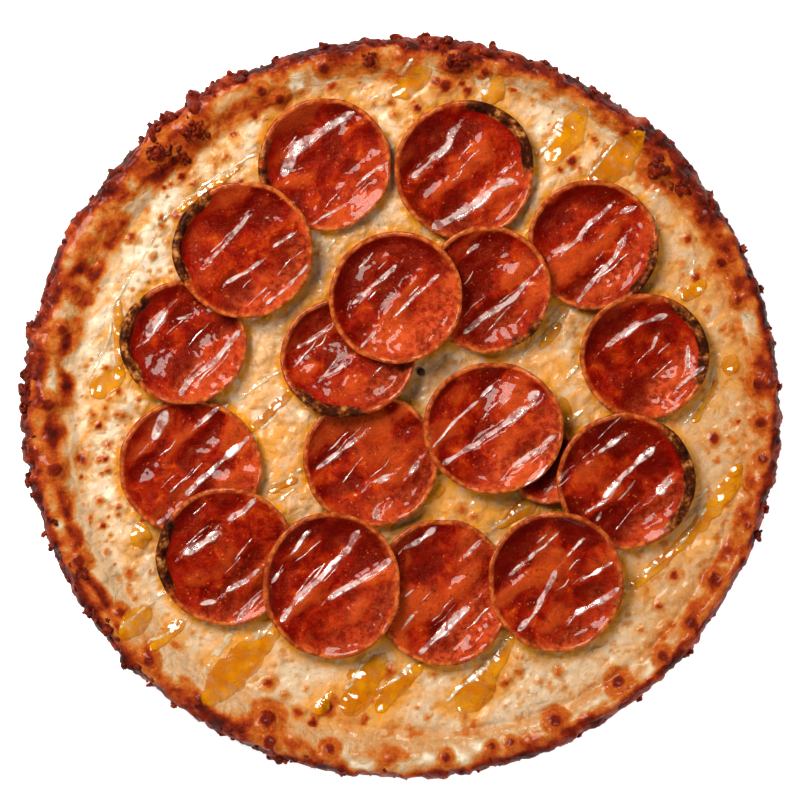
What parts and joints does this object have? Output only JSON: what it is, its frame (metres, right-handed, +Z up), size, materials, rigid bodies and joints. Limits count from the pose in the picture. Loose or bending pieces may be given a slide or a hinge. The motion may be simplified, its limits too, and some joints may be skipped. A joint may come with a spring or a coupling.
{
  "type": "pepperoni pizza",
  "caption": "Whole round pepperoni pizza lying flat, with a craggy browned rim, melted cheese and overlapping curled slices of pepperoni under honey.",
  "frame": {"origin": "middle of the round crust, on the flat underside that the pizza lies on", "axes": "+Z up; +Y towards the edge that is at the top of the picture, +X towards the edge at its right"},
  "size_m": [0.29, 0.2828, 0.0216],
  "materials": {
    "crust": "browned baked dough with dark, burnt cheese crags at its edge",
    "cheese": "melted cream-coloured cheese with browned blisters and glossy runs of honey",
    "pepperoni": "deep red cured sausage, glossy with fat and honey, charred at the raised edges"
  },
  "bodies": {
    "root": {"crust": "crust", "cheese": "cheese", "pepperoni_01": "pepperoni", "pepperoni_02": "pepperoni", "pepperoni_03": "pepperoni", "pepperoni_04": "pepperoni", "pepperoni_05": "pepperoni", "pepperoni_06": "pepperoni", "pepperoni_07": "pepperoni", "pepperoni_08": "pepperoni", "pepperoni_09": "pepperoni", "pepperoni_10": "pepperoni", "pepperoni_11": "pepperoni", "pepperoni_12": "pepperoni", "pepperoni_13": "pepperoni", "pepperoni_14": "pepperoni", "pepperoni_15": "pepperoni", "pepperoni_16": "pepperoni", "pepperoni_17": "pepperoni", "pepperoni_18": "pepperoni"}
  },
  "joints": []
}
